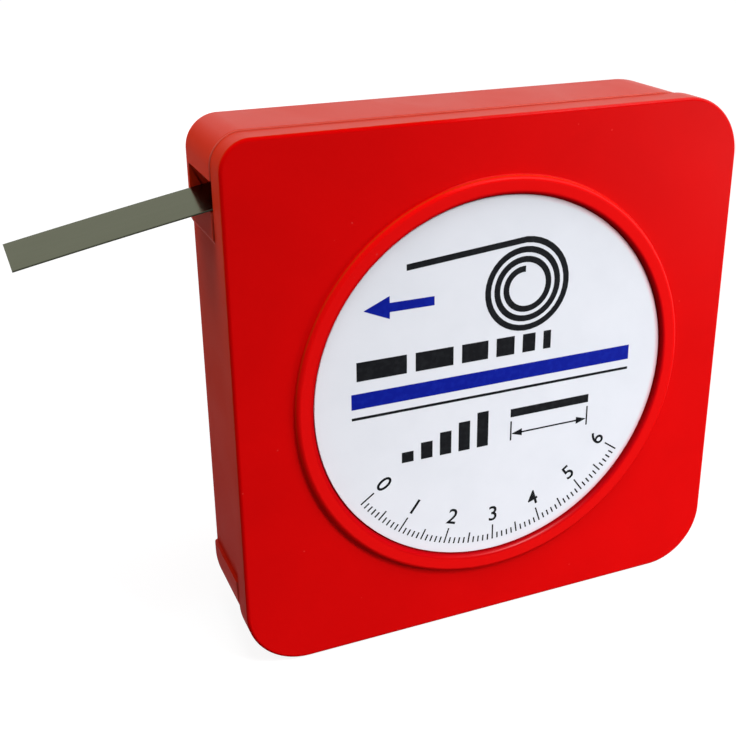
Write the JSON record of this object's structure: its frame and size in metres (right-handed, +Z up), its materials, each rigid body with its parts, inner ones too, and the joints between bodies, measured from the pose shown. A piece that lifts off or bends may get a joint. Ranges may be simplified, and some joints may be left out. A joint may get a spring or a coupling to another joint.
{
  "type": "shim stock roll in dispenser case",
  "caption": "Coil of thin steel shim strip in a flat square plastic dispenser case, its end drawn out through a notch high in one side.",
  "frame": {"origin": "middle of the case's bottom side, on which it stands", "axes": "+X to the right across the front, +Y from the front to the back, +Z up"},
  "size_m": [0.1235, 0.0215, 0.094],
  "materials": {
    "case": "red moulded plastic with a fine satin gloss",
    "label": "white printed film, smooth and slightly satin",
    "strip": "cold-rolled hardened steel, smooth, grey with a faint green cast"
  },
  "bodies": {
    "root": {"back_shell": "case", "front_cover": "case", "label": "label", "steel_strip": "strip"}
  },
  "joints": []
}
